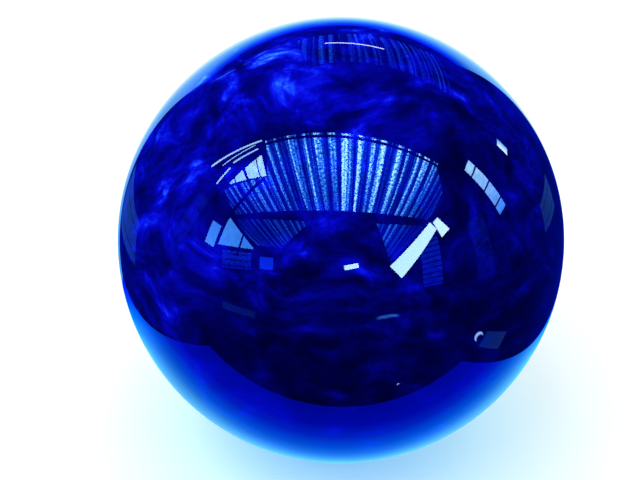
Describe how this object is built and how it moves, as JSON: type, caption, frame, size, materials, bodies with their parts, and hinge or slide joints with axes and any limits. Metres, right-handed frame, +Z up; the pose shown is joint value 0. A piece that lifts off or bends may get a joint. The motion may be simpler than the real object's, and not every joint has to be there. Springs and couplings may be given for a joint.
{
  "type": "crystal ball",
  "caption": "Large solid ball of deep cobalt blue cloudy glass, resting on a loose rubber seat in a low turned wooden ring stand.",
  "frame": {"origin": "on the stand's axis, on the surface that the stand's rubber pad rests on", "axes": "+Z up along the axis of the stand and the ball; +X to the right and +Y away from a viewer in front"},
  "size_m": [0.25, 0.2498, 0.256],
  "materials": {
    "blue_glass": "mirror polished, nearly opaque, with milky blue clouds inside",
    "dark_wood": "turned hardwood, stained dark and satin lacquered",
    "seat_rubber": "soft black rubber, matt",
    "pad_rubber": "black grip rubber, matt"
  },
  "bodies": {
    "stand": {"stand_ring": "dark_wood", "base_pad": "pad_rubber"},
    "seat": {"rubber_seat": "seat_rubber"},
    "ball": {"glass_ball": "blue_glass"}
  },
  "joints": [
    {"name": "ball_turn", "type": "hinge", "parent": "stand", "child": "seat", "pos_m": [0, 0, 0.007], "axis": [0, 0, 1], "continuous": true},
    {"name": "ball_lift", "type": "slide", "parent": "seat", "child": "ball", "axis": [0, 0, 1], "range_m": [0, 0.06]}
  ]
}
